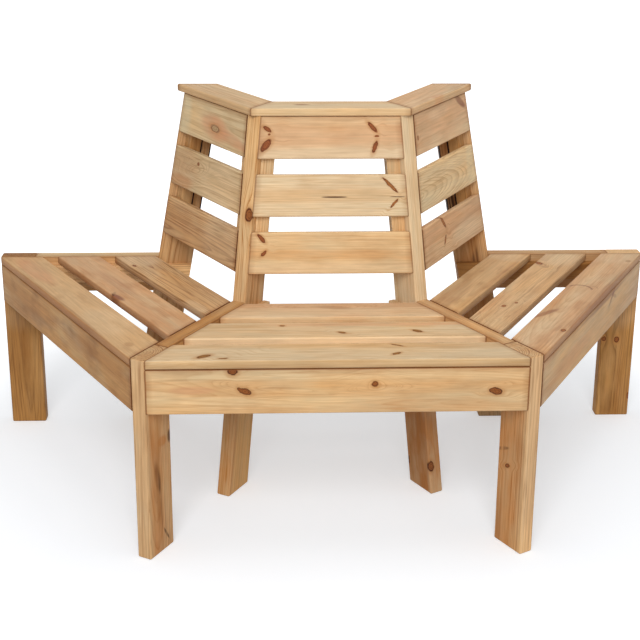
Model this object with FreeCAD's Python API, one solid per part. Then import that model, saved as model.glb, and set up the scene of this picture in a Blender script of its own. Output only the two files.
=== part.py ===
import FreeCAD, Part
import math
import os

from FreeCAD import Vector

# A tree bench: half of a hexagonal ring of seats, with a raked back, to stand round a tree trunk.
# Four upright frames fan out from the centre of the trunk, and three seats span between them.
# All sizes are in millimetres. Pieces are set out from the centre of the trunk and then moved once,
# so that the finished bench stands on z = 0 with the middle of its footprint at the origin.

# plan and heights
frame_turn = 60.0
leg_reach = 825.0
seat_height = 460.0
overall_height = 900.0

# frame timber
frame_thickness = 34.0
leg_width = 88.0
rail_width = 95.0
post_width = 86.0
post_rake = 10.3
frame_easing = 4.0
foot_easing = 3.0
leg_top_easing = 2.5

# seat boards, aprons under their front edge, and cleats under their ends
seat_board_width = 92.0
seat_board_thickness = 20.0
seat_board_gap = 33.0
seat_rear_clearance = 5.0
apron_width = 100.0
apron_thickness = 20.0
cleat_thickness = 18.0
cleat_width = 45.0

# back boards, and battens behind their ends
back_board_width = 97.0
back_board_thickness = 18.0
back_board_gap = 35.0
batten_face = 30.0
batten_depth = 30.0
block_face = 30.0
block_depth = 30.0

# cap along the top of the back
cap_overhang = 4.5
cap_width = 88.0
cap_thickness = 18.0
cap_end_overhang = 5.0

board_easing = 4.0
batten_easing = 2.0

# clearances
end_gap = 0.8
mitre_gap = 0.4
under_cap_gap = 0.5
hole_clearance = 0.1
dowel_end_clearance = 1.0

# fixings
screw_shank = 4.0
screw_head = 8.0
screw_head_height = 2.8
screw_tip = 5.0
slat_screw_length = 60.0
joint_screw_length = 45.0
slat_screw_inset = 26.0
apron_screw_clearance = 15.0
batten_screw_edge = 8.0
block_screw_inset = 11.0
back_screw_inset = 19.0
post_screw_spread = 17.0
screw_stagger = 5.0
screw_sink = 0.4
dowel_diameter = 8.0
dowel_length = 40.0
rail_dowel_inset = 24.0
cap_dowel_bite = 12.0
cap_dowel_spread = 20.0
cap_dowel_offset = 8.5

half_turn = math.radians(frame_turn / 2)
rake = math.radians(post_rake)
lean = math.tan(rake)
half_thickness = frame_thickness / 2
cap_underside = overall_height - cap_thickness
seat_underside = seat_height - seat_board_thickness
apron_bottom = seat_underside - apron_width
cleat_bottom = seat_underside - cleat_width
leg_inner_reach = leg_reach - leg_width


def arris_plane(reach):
    """Distance out to a plane through the near arrises of two frames, at the ends of one seat."""
    return reach * math.cos(half_turn) + half_thickness * math.sin(half_turn)


# the seat boards reach in from the legs' near arrises, and the posts rise just behind the last of them
seat_rows = ("front", "middle", "rear")
seat_front = arris_plane(leg_reach)
seat_depth = len(seat_rows) * seat_board_width + (len(seat_rows) - 1) * seat_board_gap
post_reach_at_seat = leg_reach - (seat_depth + seat_rear_clearance) / math.cos(half_turn)
post_foot_reach = post_reach_at_seat + lean * seat_height


def post_face(height):
    """Distance from the trunk's centre to the outer edge of a post, at a height."""
    return post_foot_reach - lean * height


apron_back = seat_front - apron_thickness
cap_reach = arris_plane(post_face(cap_underside)) + cap_overhang

# the back boards lie in a plane through the near arris of the posts, so they lean a little less
board_lean = lean * math.cos(half_turn)
board_tilt = math.atan(board_lean)
board_depth_level = back_board_thickness / math.cos(board_tilt)
batten_depth_level = batten_depth / math.cos(board_tilt)

frames = {"left_end": -1.5, "left": -0.5, "right": 0.5, "right_end": 1.5}
seats = {"left": (-1, "left_end", "left"), "centre": (0, "left", "right"), "right": (1, "right", "right_end")}
back_rows = ("top", "middle", "bottom")
front_angle = 270.0
trunk_centre = Vector(0, 0, 0)
outward = Vector(1, 0, 0)
along = Vector(0, 1, 0)
up = Vector(0, 0, 1)
far = 2 * (leg_reach + overall_height)

timber = {}
fixings = {"slat_screws": [], "joint_screws": [], "dowels": []}
holes = []


def turned(shape, turns):
    """Turn a piece about the trunk, by a number of frame turns from the front."""
    copy = shape.copy()
    copy.rotate(trunk_centre, up, front_angle + turns * frame_turn)
    return copy


def turned_vector(vector, turns):
    return FreeCAD.Rotation(up, front_angle + turns * frame_turn).multVec(vector)


def eased_bar(low, high, axis, radius):
    """A plank between two corners, with the four long edges along one axis rounded."""
    size = high - low
    plank = Part.makeBox(size.x, size.y, size.z, low)
    long_edges = [edge for edge in plank.Edges if abs(edge.tangentAt(edge.FirstParameter).dot(axis)) > 0.5]
    return plank.makeFillet(radius, long_edges)


def edges_at_height(shape, height):
    flat = []
    for edge in shape.Edges:
        box = edge.BoundBox
        if abs(box.ZMin - height) < 0.01 and abs(box.ZMax - height) < 0.01:
            flat.append(edge)
    return flat


def raked(shape):
    """Lean a piece of a frame towards the trunk, about the outer edge of the post's foot."""
    copy = shape.copy()
    copy.rotate(Vector(post_foot_reach, 0, 0), along, -post_rake)
    return copy


def end_along(reach, setback):
    """Half the length of a board, where it stops short of the middle plane of a frame."""
    return reach * math.tan(half_turn) - setback / math.cos(half_turn)


def between_frames(inner, outer, low, high, near_setback, far_setback):
    """The space of one seat between two frames, from inner to outer and from low to high."""
    corners = [
        Vector(inner, -end_along(inner, near_setback), low),
        Vector(outer, -end_along(outer, near_setback), low),
        Vector(outer, end_along(outer, far_setback), low),
        Vector(inner, end_along(inner, far_setback), low),
    ]
    return Part.Face(Part.makePolygon(corners + corners[:1])).extrude(Vector(0, 0, high - low))


def board(inner, outer, low, high):
    """A level board across one seat, with its ends cut to the frames."""
    setback = half_thickness + end_gap
    reach = end_along(outer, setback)
    plank = eased_bar(Vector(inner, -reach, low), Vector(outer, reach, high), along, board_easing)
    return plank.common(between_frames(inner, outer, low, high, setback, setback))


def slat_front(row):
    return seat_front - row * (seat_board_width + seat_board_gap)


def back_plane(height):
    """Distance out to the front face of the back boards, at a height."""
    return arris_plane(post_face(height))


def back_board_top(row):
    """Height of the top front edge of a back board."""
    down_slope = row * (back_board_width + back_board_gap)
    return cap_underside - under_cap_gap - down_slope * math.cos(board_tilt)


back_bottom = back_board_top(len(back_rows) - 1) - back_board_width * math.cos(board_tilt)


# the four frames

def front_leg():
    leg = eased_bar(
        Vector(leg_inner_reach, -half_thickness, 0),
        Vector(leg_reach, half_thickness, seat_height),
        up,
        frame_easing,
    )
    leg = leg.makeFillet(leg_top_easing, edges_at_height(leg, seat_height))
    return leg.makeFillet(foot_easing, edges_at_height(leg, 0))


def rear_post():
    post = raked(
        eased_bar(
            Vector(post_foot_reach - post_width, -half_thickness, -overall_height),
            Vector(post_foot_reach, half_thickness, 2 * overall_height),
            up,
            frame_easing,
        )
    )
    standing = Part.makeBox(2 * far, 2 * far, cap_underside, Vector(-far, -far, 0))
    post = post.common(standing)
    return post.makeFillet(foot_easing, edges_at_height(post, 0))


def seat_rail():
    rail = eased_bar(
        Vector(0, -half_thickness, seat_height - rail_width),
        Vector(leg_inner_reach, half_thickness, seat_height),
        outward,
        frame_easing,
    )
    outside_post = raked(Part.makeBox(far, 2 * far, 2 * far, Vector(post_foot_reach, -far, -far)))
    return rail.common(outside_post)


# the pieces of one seat, with +X outward and +Y along the seat

def cleat(side):
    """A bar on the side of a frame, from the apron to the rear edge of the post."""
    inner_side = half_thickness + cleat_thickness
    bar = eased_bar(
        Vector(0, half_thickness, cleat_bottom),
        Vector(leg_reach, inner_side, seat_underside),
        outward,
        batten_easing,
    )
    behind = raked(Part.makeBox(far, 2 * far, 2 * far, Vector(post_foot_reach - post_width, -far, -far)))
    bar = bar.common(behind)
    bar.rotate(trunk_centre, up, -frame_turn / 2)
    bar = bar.mirror(trunk_centre, along)
    bar = bar.common(Part.makeBox(apron_back, 2 * far, 2 * far, Vector(0, -far, -far)))
    if side < 0:
        bar = bar.mirror(trunk_centre, along)
    return bar


def wedge_bar(side, front, face, depth, low, high, slope):
    """A batten with its front face to the boards and one side bevelled to lie flat on a frame."""
    edge = end_along(front, half_thickness)
    rear = front - depth
    corners = [
        Vector(front, edge, low),
        Vector(front, edge - face, low),
        Vector(rear, edge - face, low),
        Vector(rear, end_along(rear, half_thickness), low),
    ]
    rise = high - low
    travel = Vector(-slope * math.cos(half_turn) * rise, -slope * math.sin(half_turn) * rise, rise)
    bar = Part.Face(Part.makePolygon(corners + corners[:1])).extrude(travel)
    free_edges = []
    for candidate in bar.Edges:
        start = candidate.Vertexes[0].Point
        end = candidate.Vertexes[1].Point
        foot = start if start.z < end.z else end
        if abs(start.z - end.z) > rise / 2 and abs(foot.y - (edge - face)) < 0.01:
            free_edges.append(candidate)
    bar = bar.makeFillet(batten_easing, free_edges)
    if side < 0:
        bar = bar.mirror(trunk_centre, along)
    return bar


def back_batten(side):
    front = back_plane(back_bottom) - board_depth_level
    return wedge_bar(side, front, batten_face, batten_depth_level, back_bottom, cap_underside, lean)


def apron_block(side):
    return wedge_bar(side, apron_back, block_face, block_depth, apron_bottom, cleat_bottom, 0.0)


def back_board(row):
    top = back_board_top(row)
    reach = end_along(seat_front, half_thickness)
    plank = eased_bar(
        Vector(-back_board_thickness, -reach, -back_board_width),
        Vector(0, reach, 0),
        along,
        board_easing,
    )
    plank.rotate(trunk_centre, along, -math.degrees(board_tilt))
    plank.translate(Vector(back_plane(top), 0, top))
    setback = half_thickness + end_gap
    space = between_frames(cap_reach - cap_width, seat_front, 0, overall_height, setback, setback)
    return plank.common(space)


def cap_board(seat):
    inner = cap_reach - cap_width
    reach = end_along(cap_reach, -cap_end_overhang)
    plank = eased_bar(
        Vector(inner, -reach, cap_underside),
        Vector(cap_reach, reach, overall_height),
        along,
        board_easing,
    )
    near_setback = -cap_end_overhang if seat == "left" else mitre_gap / 2
    far_setback = -cap_end_overhang if seat == "right" else mitre_gap / 2
    space = between_frames(inner, cap_reach, cap_underside, overall_height, near_setback, far_setback)
    return plank.common(space)


# fixings: each is set where it goes, and its hole is cut from every timber that it passes through

def revolved(outline):
    points = [Vector(radius, 0, height) for radius, height in outline]
    return Part.Face(Part.makePolygon(points + points[:1])).revolve(trunk_centre, up, 360)


def screw_shape(length):
    return revolved([
        (0, 0),
        (screw_head / 2, 0),
        (screw_shank / 2, screw_head_height),
        (screw_shank / 2, length - screw_tip),
        (0, length),
    ])


def screw_hole(length):
    wide = screw_head / 2 + hole_clearance
    narrow = screw_shank / 2 + hole_clearance
    return revolved([
        (0, -screw_head),
        (wide, -screw_head),
        (wide, 0),
        (narrow, screw_head_height),
        (narrow, length + hole_clearance),
        (0, length + hole_clearance),
    ])


def dowel_shape():
    return Part.makeCylinder(dowel_diameter / 2, dowel_length)


def dowel_hole():
    return Part.makeCylinder(
        dowel_diameter / 2 + hole_clearance,
        dowel_length + 2 * dowel_end_clearance,
        Vector(0, 0, -dowel_end_clearance),
    )


def fix(kind, shape, hole, start, direction, turns):
    aim = FreeCAD.Rotation(up, turned_vector(direction, turns))
    place = FreeCAD.Placement(turned_vector(start, turns), aim)
    for piece, keep in ((shape, fixings[kind]), (hole, holes)):
        copy = piece.copy()
        copy.Placement = place
        keep.append(copy)


def drive_screw(kind, length, start, direction, turns):
    sunk = start + direction * screw_sink
    fix(kind, screw_shape(length), screw_hole(length), sunk, direction, turns)


def drive_dowel(start, direction, turns):
    fix("dowels", dowel_shape(), dowel_hole(), start, direction, turns)


def screw_seat(turns, side):
    """Screws up through a cleat into the ends of the seat boards, and through it into the frame."""
    middle = half_thickness + cleat_thickness / 2
    for row in range(len(seat_rows)):
        front = slat_front(row)
        first_row = front - slat_screw_inset
        if row == 0:
            first_row = min(first_row, apron_back - apron_screw_clearance)
        for reach in (first_row, front - seat_board_width + slat_screw_inset):
            start = Vector(reach, side * end_along(reach, middle), cleat_bottom)
            drive_screw("slat_screws", slat_screw_length, start, up, turns)

    inner_side = half_thickness + cleat_thickness
    height = (cleat_bottom + seat_underside) / 2
    stagger = side * screw_stagger
    reaches = []
    for row in range(len(seat_rows)):
        board_middle = slat_front(row) - seat_board_width / 2
        reaches.append((board_middle - inner_side * math.sin(half_turn)) / math.cos(half_turn))
    post_middle = post_face(height) - post_width / math.cos(rake) / 2
    reaches += [post_middle - post_screw_spread, post_middle + post_screw_spread]
    for reach in reaches:
        start = Vector(reach + stagger, -side * inner_side, height)
        drive_screw("joint_screws", joint_screw_length, start, Vector(0, side, 0), turns + side / 2)


def screw_block(turns, side):
    """Screws through an apron block into the apron, and into the leg."""
    edge = end_along(apron_back, half_thickness) - block_face
    for height in (apron_bottom + block_screw_inset, cleat_bottom - block_screw_inset):
        start = Vector(apron_back - block_depth, side * (edge + batten_screw_edge), height)
        drive_screw("joint_screws", joint_screw_length, start, outward, turns)
    height = (apron_bottom + cleat_bottom) / 2 + side * screw_stagger
    start = Vector(apron_back - block_depth / 2, side * edge, height)
    drive_screw("joint_screws", joint_screw_length, start, Vector(0, side, 0), turns)


def screw_batten(turns, side):
    """Screws through a back batten into the back boards, and into the post."""
    normal = Vector(math.cos(board_tilt), 0, math.sin(board_tilt))
    down = Vector(math.sin(board_tilt), 0, -math.cos(board_tilt))
    for row in range(len(back_rows)):
        top = back_board_top(row)
        corner = Vector(back_plane(top), 0, top)
        for down_slope in (back_screw_inset, back_board_width - back_screw_inset):
            start = corner + down * down_slope
            start -= normal * (back_board_thickness + batten_depth)
            edge = end_along(back_plane(start.z) - board_depth_level, half_thickness) - batten_face
            start.y = side * (edge + batten_screw_edge)
            drive_screw("joint_screws", joint_screw_length, start, normal, turns)
        start = corner + down * (back_board_width / 2 + side * screw_stagger)
        start -= normal * (back_board_thickness + batten_depth / 2)
        edge = end_along(back_plane(start.z) - board_depth_level, half_thickness) - batten_face
        start.y = side * edge
        drive_screw("joint_screws", joint_screw_length, start, Vector(0, side, 0), turns)


def dowel_frame(turns):
    """Dowels at the two ends of a seat rail."""
    for height in (seat_height - rail_dowel_inset, seat_height - rail_width + rail_dowel_inset):
        for joint in (leg_inner_reach, post_face(height)):
            drive_dowel(Vector(joint - dowel_length / 2, 0, height), outward, turns)


def dowel_cap(turns, sides):
    """Dowels from the top of a post into the cap, each clear of the mitre."""
    middle = post_face(cap_underside) - post_width / math.cos(rake) / 2
    foot = cap_underside + cap_dowel_bite - dowel_length
    for side, shift in zip(sides, (-cap_dowel_spread, cap_dowel_spread)):
        drive_dowel(Vector(middle + shift, side * cap_dowel_offset, foot), up, turns)


for name, turns in frames.items():
    timber["front_leg_" + name] = turned(front_leg(), turns)
    timber["rear_post_" + name] = turned(rear_post(), turns)
    timber["seat_rail_" + name] = turned(seat_rail(), turns)
    dowel_frame(turns)

for name, (turns, near_frame, far_frame) in seats.items():
    timber["apron_" + name] = turned(board(apron_back, seat_front, apron_bottom, seat_underside), turns)
    for row, label in enumerate(seat_rows):
        front = slat_front(row)
        slat = board(front - seat_board_width, front, seat_underside, seat_height)
        timber["seat_slat_" + name + "_" + label] = turned(slat, turns)
    for row, label in enumerate(back_rows):
        timber["back_slat_" + name + "_" + label] = turned(back_board(row), turns)
    timber["cap_board_" + name] = turned(cap_board(name), turns)
    for side, frame in ((-1, near_frame), (1, far_frame)):
        place = name + "_by_" + frame
        timber["seat_cleat_" + place] = turned(cleat(side), turns)
        timber["apron_block_" + place] = turned(apron_block(side), turns)
        timber["back_batten_" + place] = turned(back_batten(side), turns)
        screw_seat(turns, side)
        screw_block(turns, side)
        screw_batten(turns, side)

dowel_cap(frames["left_end"], (1, 1))
dowel_cap(frames["left"], (-1, 1))
dowel_cap(frames["right"], (-1, 1))
dowel_cap(frames["right_end"], (-1, -1))

for name, piece in timber.items():
    crossing = [hole for hole in holes if hole.BoundBox.intersect(piece.BoundBox)]
    if crossing:
        timber[name] = piece.cut(crossing)

# stand the bench on the floor with the middle of its footprint at the origin
to_origin = Vector(0, (seat_front - half_thickness) / 2, 0)
os.makedirs("parts", exist_ok=True)


def write(name, shape):
    solids = []
    for solid in shape.Solids:
        copy = solid.copy()
        copy.translate(to_origin)
        solids.append(copy)
    whole = solids[0] if len(solids) == 1 else Part.makeCompound(solids)
    if not whole.isValid():
        raise ValueError(name + " is not a valid solid")
    whole.exportStep(os.path.join("parts", name + ".step"))
    print(name, len(solids), round(whole.Volume / 1000, 1), "cm3")


for name, piece in timber.items():
    write(name, piece)
for name, group in fixings.items():
    write(name, Part.makeCompound(group))
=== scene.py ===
import functools
import math
import random

import bmesh
import bpy
from mathutils import Matrix, Vector


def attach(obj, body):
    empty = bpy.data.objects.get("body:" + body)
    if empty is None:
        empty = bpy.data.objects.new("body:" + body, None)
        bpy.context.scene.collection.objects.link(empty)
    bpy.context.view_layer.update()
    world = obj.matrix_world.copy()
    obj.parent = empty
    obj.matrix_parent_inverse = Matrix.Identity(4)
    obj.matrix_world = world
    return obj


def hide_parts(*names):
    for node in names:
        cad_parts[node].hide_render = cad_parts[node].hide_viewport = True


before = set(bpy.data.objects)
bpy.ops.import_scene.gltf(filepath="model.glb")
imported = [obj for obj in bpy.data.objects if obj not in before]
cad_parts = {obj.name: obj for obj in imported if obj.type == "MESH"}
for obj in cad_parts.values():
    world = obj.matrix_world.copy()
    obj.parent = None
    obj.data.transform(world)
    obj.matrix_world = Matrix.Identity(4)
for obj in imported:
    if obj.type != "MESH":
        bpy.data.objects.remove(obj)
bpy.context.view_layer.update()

print("frame loaded:", len(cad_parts), "nodes")

mm = 0.001
smooth = {"interpolation_type": "SMOOTHSTEP"}
rgba = {"data_type": "RGBA"}


def toLinear(hexColour):
    channels = [int(hexColour[i:i + 2], 16) / 255 for i in (1, 3, 5)]
    return tuple(c / 12.92 if c <= 0.04045 else ((c + 0.055) / 1.055) ** 2.4 for c in channels) + (1.0,)


def addNode(tree, kind, inputs=(), operation=None, **settings):
    # inputs go by name, or in the order of the sockets in use, and a node stands for its first output
    node = tree.nodes.new(kind if kind.startswith("Node") else "ShaderNode" + kind)
    if operation:
        node.operation = operation
    for name, value in settings.items():
        setattr(node, name, value)
    if isinstance(inputs, dict):
        pairs = [(node.inputs[name], value) for name, value in inputs.items()]
    else:
        pairs = zip([socket for socket in node.inputs if socket.enabled], inputs)
    for socket, value in pairs:
        if isinstance(value, bpy.types.Node):
            value = next(output for output in value.outputs if output.enabled)
        if isinstance(value, bpy.types.NodeSocket):
            tree.links.new(value, socket)
        else:
            socket.default_value = value
    return node


def newMaterial(name):
    # an empty node material, and what adds nodes to it
    material = bpy.data.materials.new(name)
    material.use_nodes = True
    material.node_tree.nodes.clear()
    return material, functools.partial(addNode, material.node_tree)


def addObject(name, data):
    thing = bpy.data.objects.new(name, data)
    bpy.context.scene.collection.objects.link(thing)
    return thing


def addMesh(name, shape):
    mesh = bpy.data.meshes.new(name)
    shape.to_mesh(mesh)
    shape.free()
    return mesh


# how the bench stands: degrees round the trunk, degrees of lean, and metres
bench = {
    "frameAngles": {"left_end": 180, "left": 240, "right": 300, "right_end": 0},
    "seatAngles": {"left": 210, "centre": 270, "right": 330},
    "framesOf": {"left": ("left_end", "left"), "centre": ("left", "right"),
                 "right": ("right", "right_end")},
    "postRake": 10.3,
    "backLean": 8.95,
    "trunk": (0, 0.353, 0),  # the middle of the ring
    "seatUnderside": 0.440,
    "capUnderside": 0.882,
    "frameHalf": 0.0178,  # from a frame's middle plane to the boards' ends
    "legInner": 0.737,  # from the ring's middle to the legs' inner faces
}


def radial(angle):
    return Vector((math.cos(math.radians(angle)), math.sin(math.radians(angle)), 0))


def leaning(angle, lean):
    # a direction that rises and leans in towards the trunk
    return Vector((0, 0, math.cos(math.radians(lean)))) - radial(angle) * math.sin(math.radians(lean))


def seatOf(name):
    words = name.split("_")
    return words[1] if words[1] in bench["seatAngles"] else words[2]


def frameOf(name):
    # rear_post_left_end and seat_cleat_left_by_left_end both belong to the frame left_end
    return name.split("_by_")[1] if "_by_" in name else name.split("_", 2)[2]


def boardAxes(name):
    # the way the grain runs in a board, and the way across its broad face
    up = Vector((0, 0, 1))
    if name.startswith(("seat_slat", "back_slat", "cap_board", "apron")):
        angle = bench["seatAngles"][seatOf(name)]
        along = radial(angle + 90)
        if name.startswith("apron_block"):
            return up, along
        if name.startswith("apron"):
            return along, up
        if name.startswith("back_slat"):
            return along, leaning(angle, bench["backLean"])
        return along, radial(angle)
    angle = bench["frameAngles"][frameOf(name)]
    if name.startswith(("seat_rail", "seat_cleat")):
        return radial(angle), up
    if name.startswith("front_leg"):
        return up, radial(angle)
    raked = leaning(angle, bench["postRake"])
    return raked, radial(angle + 90).cross(raked)


def boardPlace(name):
    # the turn and shift that bring a board's own grain onto X and its width onto Y, about its middle
    grainWay, across = boardAxes(name)
    across = (across - grainWay * across.dot(grainWay)).normalized()
    turn = Matrix((grainWay, across, grainWay.cross(across)))
    corners = [turn @ vertex.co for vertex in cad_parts[name].data.vertices]
    low = Vector(min(corner[i] for corner in corners) for i in range(3))
    high = Vector(max(corner[i] for corner in corners) for i in range(3))
    return turn, -(low + high) / 2, (high - low) / 2


def jointPlanes(name):
    # the planes in which a board meets its neighbours, as (normal, distance)
    trunk = Vector(bench["trunk"])
    planes = []
    if name.startswith("seat_rail"):
        angle = bench["frameAngles"][frameOf(name)]
        planes.append((radial(angle), radial(angle).dot(trunk) + bench["legInner"]))
        for seat, frames in bench["framesOf"].items():
            if frameOf(name) in frames:
                side = radial(angle + 90)
                side *= math.copysign(1, side.dot(radial(bench["seatAngles"][seat])))
                planes.append((side, side.dot(trunk) + bench["frameHalf"]))
    elif name.startswith(("seat_slat", "back_slat", "cap_board", "apron")) and "block" not in name:
        seat = seatOf(name)
        setback = 0 if name.startswith("cap_board") else bench["frameHalf"]
        for frameName in bench["framesOf"][seat]:
            normal = radial(bench["frameAngles"][frameName] + 90)
            side = math.copysign(1, normal.dot(radial(bench["seatAngles"][seat])))
            planes.append((normal, normal.dot(trunk) + side * setback))
    if name.startswith("apron") or name.endswith("_front"):
        planes.append((Vector((0, 0, 1)), bench["seatUnderside"]))
    if name.startswith("back_slat") and name.endswith("_top"):
        planes.append((Vector((0, 0, 1)), bench["capUnderside"]))
    return planes


# knots, in knot sizes from their middles
knotForm = {
    "core": (0.84, 1.1),  # where the dark wood ends
    "halo": (0.9, 2),  # where the warmer wood round it ends
    "bend": (0, 3.2),  # how far the grain bends
    "bendLength": 2,  # times farther along the grain than across it
    "slim": 1.9,  # a knot longer than this many widths is a spike, which bends it less
    "spikePull": 0.15,
    "roundPull": 0.5,
    "dip": 0.3,  # mm
    "ragged": 4.5,  # mm that the rims wander
    "edgeDepth": (9, 6),  # mm inside a board's edge between which a knot in that edge begins
    "ring": 0.2,  # from one dark ring of the knot to the next pale one
    "unevenRings": 0.9,
    "ringTint": (-0.45, 0.55),
    "paleFrom": (0.4, 0.95),  # the middle is paler than the rim
    "paleTint": (0.85, -0.05),
}


def makeKnotGroup():
    # how far out a point is in knot sizes, a knot's core and halo, and how the grain flows round it
    tree = bpy.data.node_groups.new("pineKnot", "ShaderNodeTree")
    sides = {
        "INPUT": {"Place": "Vector", "Centre": "Vector", "Angle": "Float", "Scale": "Vector",
                  "Width": "Vector"},
        "OUTPUT": {"Reach": "Float", "Core": "Float", "Halo": "Float", "Bend": "Float",
                   "Ahead": "Float", "Flow": "Vector"},
    }
    for side, sockets in sides.items():
        for name, kind in sockets.items():
            tree.interface.new_socket(name, in_out=side, socket_type="NodeSocket" + kind)
    add = functools.partial(addNode, tree)
    asked = add("NodeGroupInput").outputs
    moved = add("VectorMath", (asked["Place"], asked["Centre"]), "SUBTRACT")
    turned = add("VectorRotate", {"Vector": moved, "Angle": asked["Angle"]}, rotation_type="Z_AXIS")
    sized = add("VectorMath", (turned, asked["Scale"]), "MULTIPLY")
    reach = add("VectorMath", (sized,), "LENGTH")
    drawnOut = add("VectorMath", (sized, (1 / knotForm["bendLength"], 1, 1)), "MULTIPLY")
    stream = add("VectorMath", (drawnOut,), "LENGTH")
    core, halo, bend = (
        add("MapRange", (distance, *knotForm[key], 1, 0), **smooth)
        for key, distance in (("core", reach), ("halo", reach), ("bend", stream)))
    sideways = add("VectorMath", (moved, asked["Width"]), "MULTIPLY")
    flow = add("VectorMath", (sideways, bend), "SCALE")
    add("NodeGroupOutput", {"Reach": reach, "Core": core, "Halo": halo, "Bend": bend,
                            "Ahead": add("SeparateXYZ", (sized,)), "Flow": flow})
    return tree


# planed pine under a clear oil, by tone: pale spring wood, warmer heartwood and darker summer rings
pine = {
    "cream": ("#e6cba3", "#deb889", "#bd8c55"),
    "honey": ("#e5c190", "#dba870", "#b0763b"),
    "pink": ("#e1be94", "#d6a67a", "#ad7343"),
    "ash": ("#dcc196", "#cfab7b", "#a37948"),
    "tan": ("#d8b080", "#ca9a67", "#976537"),
    "brown": ("#c8965d", "#b88046", "#7f4e23"),
    "umber": ("#b48045", "#a16b34", "#6a4018"),
}

# a knot's dark rings, the wood between them, and how strongly the wood round it glows
knotShades = {
    "red": ("#52290f", "#965523", 0.5),
    "dark": ("#55280c", "#98592a", 0.5),
    "olive": ("#6e4218", "#a06c34", 0.5),
    "eye": ("#8a5c3a", "#b4946a", 0.5),
    "core": ("#683214", "#96532a", 0.5),
    "spike": ("#6c3818", "#a96a36", 0.2),
}

tints = {name: toLinear(colour) for name, colour in {
    "halo": "#b97c42",  # round a knot
    "check": "#4e3018",  # drying cracks
    "blush": "#d0966c",
    "pinkish": "#d8a078",
    "stain": "#8a541f",
    "glow": "#e0aa64",
    "joint": "#7a4416",  # painted shade in a joint's crevice
    "shade": "#3c2010",
    # painted shade beside joints and under the seat's inner slats
    "paintedShade": "#a87c4c",
    "bruise": "#8c5a40",
    "wash": "#d2c4a0",
    "amber": "#b66c24",
    "pale": "#ecd2ac",
    "sawnEnd": "#b8a07a",
}.items()}

grain = {
    "ringSpacing": 4.4,  # mm between growth rings, a little wide so that they show
    "ringStart": 0.15,  # how dark a year starts
    "ringProfile": ((0.2, 0.0), (0.55, 0.12), (0.82, 0.6), (0.92, 1.0)),  # and as it goes on
    "unevenOver": 14.3,  # mm of log over which the years differ in width
    "uneven": 3.0,  # years by which the rings run ahead or behind
    "wander": 5.0,  # mm that the rings wander along the board
    "ringFaint": 0.3,  # how much of a ring is left where the wood is mottled
    "faintNoise": (0.35, 0.65),  # the mottle's noise between which it comes back
    "ringAtKnot": 0.4,  # how much stronger rings are beside a knot
    "ringOnEnd": 0.8,  # and on the end grain, where they show most
    "ringRelief": 0.10,  # mm that summer wood stands proud after planing
    "fibreRelief": 0.05,
    "roughness": (0.62, 0.5),  # of spring and summer wood
    "bump": 0.6,
    "ior": 1.45,
    "specular": 0.25,  # oil leaves little gloss
    "bands": 0.75,  # how strongly heartwood shows where it comes as it likes
    "heart": 0.7,  # and where the board says its place
    "heartFade": (0.6, 1.4),  # half widths between which it fades
    "clouds": 0.35,
    "dashes": 0.9,
    "endTone": 0.85,
    "edgeTurn": (0.6, 0.85),  # how far a face turns to be an edge
    "endTurn": (0.35, 0.8),  # or a sawn end
    "arris": 4,  # mm that the rounded arrises are wide
    "wear": 0.04,  # how much paler they are rubbed
    "lightNoise": (0.3, 0.7),  # a pattern's noise between which it lightens the wood
    "crevice": (0.5, 3.2),  # mm from a joint between which its line of painted shade fades
    "shadedWidth": 14,  # mm beside a joint that get a softer painted shade
    # how dark that softer painted shade is
    "paintedShade": 0.5,
    "shadePatchy": (0.35, 0.6, 0.5, 1),  # the mottle's noise, and how much of that painted shade it leaves
    "jointDepth": (6, 2),  # mm below a rail's top between which its joints begin to show
    "flatOn": 0.9,  # how squarely a joint's plane faces the way a broad face does
    "underFrom": -0.3,  # of the half thickness, from which painted shade shows under a slat
    "slit": -19.3,  # mm from a post's middle to where its batten ends, where a line of painted shade lies
    "slitHalf": (1.4, 2.4),  # mm from there between which that line of painted shade fades
    "slitFrom": (120, 150),  # mm above a post's middle between which it begins
    "pithDepth": (25, 85),  # between which chance puts the heart of a log where a board doesn't say
    "pithSide": (-45, 45),
    "slope": (0.006, 0.025),
    "sideSlope": 0.6,  # of the slope
}

# marks, in their own sizes from their middles
markForm = {
    "fade": (0.6, 1.3),  # where a patch starts to fade and where it ends
    "crackBroken": (0.45, 0.6, 0.3, 1.3),  # noise, and what it leaves of a crack
    "stainBroken": (0.3, 0.6, 0.6, 1),
    "offEnd": (0.3, 0.7, 1, 0),  # patches stay off the sawn ends
    "arcLine": (0.02, 0.16),  # half widths of an arc's line
    "arcAhead": (0, 0.4),  # an arc is drawn on its far side only
}

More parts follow.
